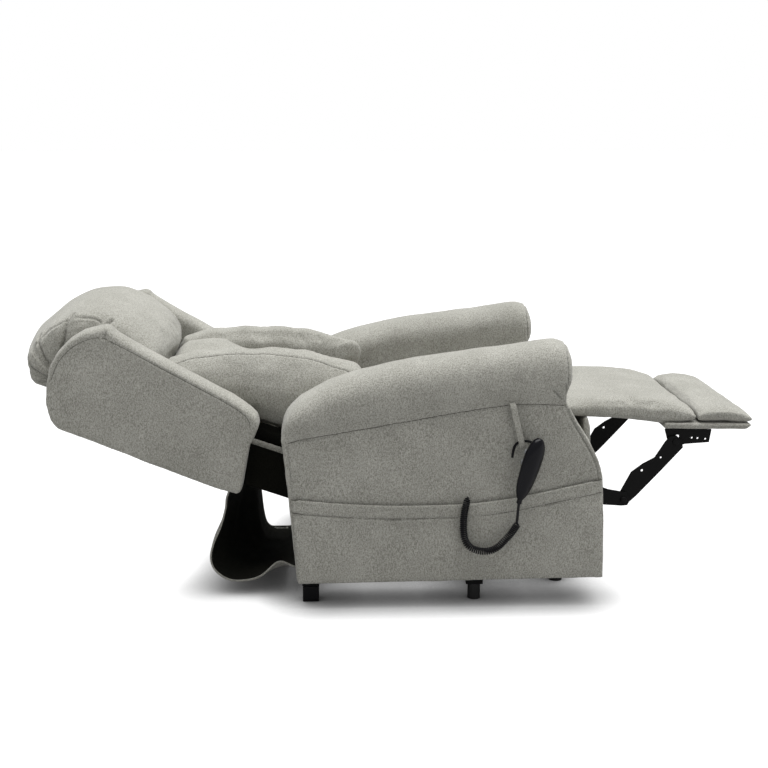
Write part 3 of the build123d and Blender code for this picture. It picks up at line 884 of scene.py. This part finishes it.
# ------------------------------------------------------------------ seat and legrest pads
# x, z outlines
SEAT = [(-194, 345), (-194, 388), (-120, 404), (0, 420), (120, 434), (230, 442), (290, 440),
        (312, 430), (322, 345)]
LEG_PAD = [(286, 428), (286, 455), (360, 459), (419, 460), (490, 457), (549, 449),
           (594, 435), (612, 425), (611, 409), (560, 405), (531, 406), (467, 413),
           (400, 420)]
TOE_PAD = [(611, 407), (610, 424), (624, 435), (660, 440), (692, 437), (722, 429),
           (742, 418), (749, 410), (740, 404)]
FRONT_RAIL = [(333, 294), (333, 420), (344, 420), (350, 392), (352, 350), (349, 294)]
LEG_HALF_WIDTH = 248


def thin_edged(outline, middle_z, edge, thinning):
    """A pad thinned towards middle_z(x) over the outer fraction, edge, of each half."""
    sections = []
    for t in np.linspace(-1, 1, 31):
        scale = 1 - thinning * (max(0.0, abs(t) - (1 - edge)) / edge) ** 2
        sections.append([(x, LEG_HALF_WIDTH * t, middle_z(x) + (z - middle_z(x)) * scale)
                         for x, z in outline])
    return loft(sections)


seat = cover("seat_cushion_cover", prism(SEAT, -244, 244), voxel=VOXEL + 2, smooth=3)
leg_pad = cover("legrest_pad_cover",
                thin_edged(LEG_PAD, middle_z=lambda x: 421 if x < 480 else 413,
                           edge=0.16, thinning=0.42),
                voxel=VOXEL, smooth=2)
toe_pad = cover("toe_pad_cover",
                thin_edged(TOE_PAD, middle_z=lambda x: 411, edge=0.14, thinning=0.40),
                voxel=VOXEL - 1, smooth=2)
rail = cover("front_rail_cover", prism(FRONT_RAIL, -LEG_HALF_WIDTH, LEG_HALF_WIDTH),
             voxel=VOXEL, smooth=2)

# object, pressure, cap (mm), smoothing passes afterwards
INFLATED = [(head, 4.0, 13, 2), (bolster, 4.0, 12, 1), (lumbar, 4.0, 14, 2),
            (seat, 4.0, 12, 1), (leg_pad, 3.0, 6, 1), (toe_pad, 3.0, 5, 1)]
inflate([job[:3] for job in INFLATED])
for pad, _, _, passes in INFLATED:
    add_smooth(pad, passes)
    apply_modifiers(pad)
    refine(pad)

# ------------------------------------------------------------------ head cushion finish
# pleats radiating from a gathering point at each end
GATHER_U, GATHER_V = 470, 95
points = points_of(head)
u_values, v_values = back_coords(points)
angle = np.arctan2(v_values - GATHER_V, u_values - GATHER_U)
radius = np.hypot(u_values - GATHER_U, v_values - GATHER_V)
near_end = np.clip((np.abs(points[:, 1]) - 170) / 75, 0, 1) ** 1.5
pleat = np.sin(angle * 11 + 1.2 * np.sin(angle * 3 + 0.6)) + 0.5 * np.sin(angle * 23 + 0.8)
pleat_depth = 4.2 * near_end * np.clip(1 - radius / 240, 0.12, 1)
push_out(head, -(pleat_depth * np.maximum(pleat, -0.3)))
head_seams = []
for side in SIDES:
    # angle, inner and outer radius of each fold
    for fold, inner, outer in ((0.15, 30, 150), (0.75, 40, 165), (1.35, 45, 190),
                               (1.9, 50, 200), (-0.5, 20, 110)):
        line = [back_xyz(GATHER_U + r * math.cos(fold), side * (272 - 0.22 * (r - inner)),
                         GATHER_V + r * math.sin(fold))
                for r in np.linspace(inner, outer, 8)]
        head_seams.append(seam(snap(head, line)[0], depth=4.2, width=3.6, pucker=0.5))
    ring = [back_xyz(440 + 142.5 * math.cos(t), side * 262, 150 + 130 * math.sin(t))
            for t in np.linspace(0.1, 1.75, 18)]
    head_seams.append(seam(snap(head, ring)[0], depth=1.7, width=3.0, pucker=0.45))
uneven(head, seed=21, height=1.3, scale=120)
press_seams(head, head_seams)
points = points_of(head)
points[:, 1] = np.clip(points[:, 1], -276, 276)
set_points(head, points)
attach(head, "backrest", "head_cushion")

# ------------------------------------------------------------------ bolster finish
# knife-edge seam along the crest, pinched at its lower end
uneven(bolster, seed=31, height=1.0, scale=90)
crest_line = snap(bolster, [back_xyz(u, 226, crest(u) - 8)
                            for u in np.linspace(-202, 254, 50)])[0]
bolster_seams = [seam(crest_line, depth=1.1, width=2.4, pucker=0.35)]
PINCH_U, PINCH_Y, PINCH_V = -202, 206, 334
# each fold from the pinch: rise in u, drop in v, step in y
for rise, drop, step in ((26, 30, 18), (38, 4, -14), (30, 26, 16), (12, 44, -6)):
    fold = [back_xyz(PINCH_U, PINCH_Y, PINCH_V),
            back_xyz(PINCH_U + rise, PINCH_Y + step, PINCH_V - drop)]
    bolster_seams.append(seam(fold, depth=2.4, width=4.2))
press_seams(bolster, bolster_seams)
bolster_right = mirrored(bolster, "bolster_right_cover")
finish_pair("bolster", bolster, bolster_right, crest_line, 0.45, "backrest")

# u, v outline of a thin black sheet beside each bolster, above the deck pad: painted shade for
# the dark recess there
BOLSTER_SHADE_SHEET = [(-176, 108), (24, 108), (30, 156), (-150, 160), (-176, 172)]
for tag, y0, y1 in (("right", -245.5, -243), ("left", 243, 245.5)):
    shade_sheet = make("bolster_shade_sheet_" + tag, prism(back_outline(BOLSTER_SHADE_SHEET), y0, y1), LINING)
    attach(shade_sheet, "backrest", slot="black_lining")
# the bolster covers and their shade lines get meshes of their own
for name in ("bolster_left_cover", "bolster_right_cover",
             "bolster_left_shade_line", "bolster_right_shade_line"):
    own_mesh(bpy.data.objects[name])

# ------------------------------------------------------------------ plain pads finish
uneven(lumbar, seed=41, height=1.0, scale=90)
press_seams(lumbar, side_seams([back_xz(u, 150) for u in range(-50, 231, 20)], 140,
                               depth=2.0, width=3.0, pucker=0.4))
attach(lumbar, "backrest", "lumbar_cushion")

uneven(seat, seed=51, height=1.0, scale=110)
press_seams(seat, [
    *side_seams([(x, 395) for x in range(-200, 330, 20)], 250,
                depth=2.0, width=3.0, pucker=0.4),
    seam([(330, y, 440) for y in range(-240, 241, 20)], depth=2.0, width=3.0, pucker=0.3)])
attach(seat, "seat_unit", "seat_cushion")
press_seams(rail, [seam([(352, y, 400) for y in range(-244, 245, 20)],
                        depth=1.5, width=2.5, pucker=0.3)])
attach(rail, "seat_unit", "front_rail")

uneven(leg_pad, seed=61, height=0.7, scale=80)
press_seams(leg_pad, side_seams([(335, 430), (420, 427), (467, 424), (531, 411), (598, 411)],
                                252, depth=1.6, width=2.6, pucker=0.4))
uneven(toe_pad, seed=71, height=0.5, scale=70)
press_seams(toe_pad, side_seams([(608, 408), (670, 408), (734, 406)], 252,
                                depth=1.4, width=2.4, pucker=0.4))
attach(toe_pad, "legrest", "toe_pad")

# wrapped board below the toe pad: x, z outline
LEG_BOARD = [(530, 391), (531, 405), (600, 404), (740, 402), (742, 397), (730, 388)]
board = cover("legrest_board_cover", prism(LEG_BOARD, -LEG_HALF_WIDTH, LEG_HALF_WIDTH),
              voxel=4.0, smooth=2)
uneven(board, seed=81, height=0.4, scale=60)
press_seams(board, side_seams([(534, 398), (730, 393)], LEG_HALF_WIDTH,
                              depth=1.0, width=2.0, pucker=0.2))
attach(board, "legrest", "legrest_board")

# flat pad behind the back cushions: u, v outline
BACK_DECK = [(-192, 98), (462, 98), (462, 114), (-192, 114)]
deck = cover("back_deck_pad_cover", prism(back_outline(BACK_DECK), -250, 250),
             voxel=6.0, smooth=2)
press_seams(deck, side_seams([back_xz(u, 106) for u in range(-190, 460, 30)], 249,
                             depth=1.2, width=2.4, pucker=0.3))
attach(deck, "backrest", "back_deck_pad")

# ------------------------------------------------------------------ side pocket
# on the outside of the right arm; x, z along its top edge
POCKET_TOP = spline([(-366, 267), (-260, 257), (-150, 251), (-45, 251), (45, 254),
                     (130, 264), (210, 279), (290, 296), (349, 309)], 6)
POCKET_ROWS = 60                            # points from top to bottom
HEM_Y = -404.5


def pocket_point(x_top, z_top, s, t):
    """A place s from back to front and t from the top edge down."""
    x = x_top + (-352 + (358 + 352) * s - x_top) * t
    z = z_top + (64 + 9 * s - z_top) * t
    hem_bulge = math.exp(-((t - 0.07) / 0.075) ** 4)
    sag = 2.2 * math.sin(math.pi * s) * math.exp(-(t / 0.25) ** 2)
    wrinkle = (1.3 * math.sin(x * 0.021 + 2.2 * t) * math.sin(math.pi * t)
               + 0.9 * math.sin(x * 0.05 - 5 * t) * math.exp(-((t - 0.3) / 0.22) ** 2))
    # flatten at the two ends and the bottom
    end_fade = min(1.0, min(s, 1 - s) / 0.02)
    y = -(402.2 + 1.6 * hem_bulge + sag * end_fade
          + (wrinkle + 1.0) * end_fade * min(1, (1 - t) / 0.05))
    return x, y, z


pocket_columns = len(POCKET_TOP)
pocket_vertices = [
    pocket_point(x, z, i / (pocket_columns - 1), j / (POCKET_ROWS - 1))
    for i, (x, z) in enumerate(POCKET_TOP) for j in range(POCKET_ROWS)]
pocket = make("side_pocket_cover",
              (pocket_vertices, grid_faces(pocket_columns, POCKET_ROWS)))
pocket.data.flip_normals()
add_solidify(pocket, thickness=2.0, offset=-1.0)
apply_modifiers(pocket)
hem = [(x, HEM_Y, z - 33 + 2 * s)
       for (x, z), s in zip(POCKET_TOP, np.linspace(0, 1, pocket_columns))]
press_seams(pocket, [
    seam(hem, depth=2.4, width=2.4, pucker=0.35),
    seam([(x, HEM_Y, z - 2) for x, z in POCKET_TOP], depth=1.6, width=2.0)])
# painted shadow: a dark cord in the gap along the pocket's top edge, and painted shade along
# the hem seam
seam_shade_line("pocket_top_shadow_line", pocket, [(x, -405.5, z - 0.5) for x, z in POCKET_TOP], 0.8,
          "seat_unit")
seam_shade_line("pocket_hem_shade_line", pocket, hem, 0.7, "seat_unit")
attach(pocket, "seat_unit", "side_pocket")
for tag, rise in (("upper", 2.5), ("lower", -4.0)):
    stitches("pocket_stitch_" + tag, pocket, [(x, y, z + rise) for x, y, z in hem],
             "seat_unit")

# ------------------------------------------------------------------ strap on the arm seam
# x, y, z down the outside of the right arm and back up behind
STRAP = [(139, -404, 490), (139, -411, 490), (140, -418, 484), (143, -420, 472),
         (151, -420, 436), (160, -420, 400), (162.5, -419, 391), (163.5, -412, 385.5),
         (163, -406.5, 390), (161, -405.5, 398), (150, -405.5, 440), (140, -405.5, 480)]
half_strap = np.array([14.5, 0, 2.6]) / 2   # from its centre line to an edge
strap_path = spline(STRAP, 6)
strap_vertices = [edge for p in strap_path for edge in (p - half_strap, p + half_strap)]
strap = make("handset_strap_cover", (strap_vertices, grid_faces(len(strap_path), 2)))
add_solidify(strap, thickness=2.2)
strap.modifiers.new("b", "SUBSURF").levels = 2
apply_modifiers(strap)
attach(strap, "seat_unit", "handset_strap")

# ------------------------------------------------------------------ coiled lead
COIL_STEP, COIL_PITCH, COIL_RADIUS = 0.5, 4.7, 7.0
# x, y, z of the coil's centre line, from the handset
coil_path = spline([
    (150, -437, 222), (152, -431, 213), (149, -427, 204), (138, -424, 186), (121, -424, 167),
    (108, -424, 154), (94, -424, 147), (78, -424, 144.5), (62, -424, 147), (46, -423, 154),
    (35, -422, 167), (30, -420, 186), (29, -419, 206), (31, -418, 235), (36, -417, 260),
    (39, -414, 272)], COIL_STEP)
along = tangents(coil_path)
across = np.cross(along, np.array([0.0, 1.0, 0.0]))
across /= np.linalg.norm(across, axis=1)[:, None]
distance = np.arange(len(coil_path)) * COIL_STEP
# straight lead at both ends
grow = (np.clip((distance - 12.0) / 5.0, 0, 1)
        * np.clip((distance[-1] - distance) / 8.0, 0, 1))
turn = (2 * math.pi * distance / COIL_PITCH)[:, None]
spoke = across * np.cos(turn) + np.cross(along, across) * np.sin(turn)
helix = coil_path + spoke * (COIL_RADIUS * grow)[:, None]
coil = make("coil_cable_cover", cord(helix, 1.9, sides=7), CABLE)
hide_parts("coil_cable")

# ------------------------------------------------------------------ loose rear flap
# grey outside, black lining inside; x, z down its right and left edges
FLAP_RIGHT = [(-516, 262), (-524, 240), (-527, 214), (-540, 169), (-558, 127), (-565, 89),
              (-552, 58), (-518, 37), (-474, 37), (-426, 49), (-392, 58), (-362, 64)]
FLAP_LEFT = [(-486, 262), (-481, 200), (-478, 150), (-474, 108), (-469, 58), (-461, 22),
             (-446, 7), (-418, 5), (-394, 7), (-374, 26), (-362, 54)]
FLAP_HALF_WIDTH = 292
FLAP_COLUMNS = 60
flap_t = np.linspace(0, 1, 70)


def flap_edge(points):
    curve = spline(points, 8)
    s = np.linspace(0, 1, len(curve))
    return np.stack([np.interp(flap_t, s, curve[:, k]) for k in (0, 1)], axis=1)


def left_inset(t):
    return 44.0 * smoothstep(unit(t / 0.35))


def flap_curl(y, t):
    """Height the lower right corner curls up."""
    return (26.0 * math.exp(-((y + FLAP_HALF_WIDTH) / 26.0) ** 2)
            * math.exp(-((t - 0.90) / 0.075) ** 2))


def flap_sheet(name, offset, material):
    vertices = []
    for j in range(FLAP_COLUMNS):
        s = j / (FLAP_COLUMNS - 1)
        share = smoothstep(s)
        profile = right_edge * (1 - share) + left_edge * share
        for (x, z), (run, rise), t in zip(profile, tangents(profile), flap_t):
            y = -FLAP_HALF_WIDTH + (2 * FLAP_HALF_WIDTH - left_inset(t)) * s
            fold = (3.0 * math.sin(y * 0.024 + 3 * t) * math.sin(math.pi * t)
                    + 1.6 * math.sin(y * 0.06 + 6 * t) * math.sin(math.pi * t))
            vertices.append((x + rise * (fold + offset), y,
                             max(5.0, z - run * (fold + offset) + flap_curl(y, t))))
    sheet = make(name, (vertices, grid_faces(FLAP_COLUMNS, len(flap_t))), material)
    add_solidify(sheet, thickness=1.4)
    apply_modifiers(sheet)
    return sheet


right_edge = flap_edge(FLAP_RIGHT)
left_edge = flap_edge(FLAP_LEFT)
right_hem = [(x, -FLAP_HALF_WIDTH, z + flap_curl(-FLAP_HALF_WIDTH, t))
             for (x, z), t in zip(right_edge, flap_t)]
left_hem = [(x, FLAP_HALF_WIDTH - left_inset(t), max(6.5, z))
            for (x, z), t in zip(left_edge, flap_t)]
flap_outside = flap_sheet("back_flap_cover", 1.0, CLOTH)
flap_inside = flap_sheet("back_flap_lining", -1.2, FLAP_LINING)
flap_parts = [flap_outside, flap_inside,
              make("back_flap_hem_right", cord(right_hem, 2.2)),
              make("back_flap_hem_left", cord(left_hem, 2.2))]
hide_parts("back_flap")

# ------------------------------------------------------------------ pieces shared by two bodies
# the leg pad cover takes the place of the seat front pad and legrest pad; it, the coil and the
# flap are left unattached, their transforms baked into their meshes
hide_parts("seat_front_pad", "legrest_pad")
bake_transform(leg_pad)
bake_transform(coil)
for part in flap_parts:
    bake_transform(part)

# ------------------------------------------------------------------ rivets on the metalwork
# share of the radius, height
RIVET_PROFILE = [(0, 2.2), (0.55, 2.1), (0.85, 1.5), (1, 0.4), (1, 0)]


def rivet(name, x, y, z, radius, body, side):
    """A domed head facing out on the given side."""
    angles = [2 * math.pi * i / 20 for i in range(20)]
    rings = [[(x + radius * share * math.cos(a), side * (y + height),
               z + radius * share * math.sin(a)) for a in angles]
             for share, height in RIVET_PROFILE]
    attach(make(name, loft(rings, capped=False), STEEL), body, slot="black_steel")


for side, tag in zip(SIDES, ("right", "left")):
    rivet("bracket_rivet_" + tag, 560, 241.8, 357, 8.5, "legrest_upper", side)
    rivet("knee_rivet_" + tag, 435, 250.8, 215, 8.0, "legrest_lower", side)

# ------------------------------------------------------------------ floor
floor_mesh = bpy.data.meshes.new("floor")
floor_mesh.from_pydata([(-30, -30, 0), (30, -30, 0), (30, 60, 0), (-30, 60, 0)], [],
                       [[0, 1, 2, 3]])
floor = bpy.data.objects.new("floor", floor_mesh)
bpy.context.scene.collection.objects.link(floor)
# the camera sees it glow white, with a painted contact shadow near the chair from ambient
# occlusion; other rays meet plain grey
floor_material, tree, shader = new_material("floor_glow_painted_shadow")
shader.inputs["Base Color"].default_value = (0.13, 0.13, 0.13, 1)
shader.inputs["Roughness"].default_value = 0.8
shader.inputs["Emission Color"].default_value = (1, 1, 1, 1)
# painted shadow: ambient occlusion dims the glow within 0.115 m of the chair
occlusion = tree.nodes.new("ShaderNodeAmbientOcclusion")
occlusion.samples = 12
occlusion.inputs["Distance"].default_value = 0.115
shadow = calc(tree, "POWER", occlusion.outputs["AO"], 2.3)
tree.links.new(calc(tree, "MULTIPLY", shadow, 1.0), shader.inputs["Emission Strength"])
grey = tree.nodes.new("ShaderNodeBsdfDiffuse")
grey.inputs[0].default_value = (0.40, 0.40, 0.40, 1)


def by_camera_ray(tree, other, seen, output):
    """Shader `seen` for camera rays, `other` for the rest."""
    light_path = tree.nodes.new("ShaderNodeLightPath")
    mixer = tree.nodes.new("ShaderNodeMixShader")
    tree.links.new(light_path.outputs["Is Camera Ray"], mixer.inputs[0])
    tree.links.new(other.outputs[0], mixer.inputs[1])
    tree.links.new(seen.outputs[0], mixer.inputs[2])
    tree.links.new(mixer.outputs[0], output.inputs[0])


by_camera_ray(tree, grey, shader, tree.nodes["Material Output"])
floor_mesh.materials.append(floor_material)

# ------------------------------------------------------------------ light and world
sun = bpy.data.lights.new("top_light", "SUN")
sun.energy = 4.1
sun.angle = math.radians(58)
sun_object = bpy.data.objects.new("top_light", sun)
sun_object.rotation_euler = (math.radians(-6), math.radians(8), 0)
bpy.context.scene.collection.objects.link(sun_object)

world = bpy.data.worlds.new("studio")
bpy.context.scene.world = world
world.use_nodes = True
tree = world.node_tree
tree.nodes.clear()
world_output = tree.nodes.new("ShaderNodeOutputWorld")
backgrounds = []
for strength in (0.45, 1.0):                # lighting the chair, seen by the camera
    background = tree.nodes.new("ShaderNodeBackground")
    background.inputs[0].default_value = (1, 1, 1, 1)
    background.inputs[1].default_value = strength
    backgrounds.append(background)
by_camera_ray(tree, *backgrounds, world_output)
bpy.context.scene.view_settings.view_transform = "Standard"

# ------------------------------------------------------------------ camera
# level, on the chair's right, looking across it and down
camera = bpy.data.cameras.new("cam")
camera.sensor_width = 36
camera.lens = 62.8125
camera_object = bpy.data.objects.new("cam", camera)
bpy.context.scene.collection.objects.link(camera_object)
# the world's y, z and x axes in the camera's own axes; they are the rows of its rotation
axis_y = np.array([-0.03432836, 0.19104478, -1.0])
axis_y /= np.linalg.norm(axis_y)
axis_z = np.array([0, -axis_y[2], axis_y[1]])
axis_z /= np.linalg.norm(axis_z)
axis_x = np.cross(axis_y, axis_z)
camera_place = world_tuple(-253.75, -3380, 1104.44)
camera_rows = [(*axis, place) for axis, place in zip((axis_x, axis_y, axis_z), camera_place)]
camera_object.matrix_world = Matrix([*camera_rows, (0, 0, 0, 1)])
bpy.context.scene.camera = camera_object
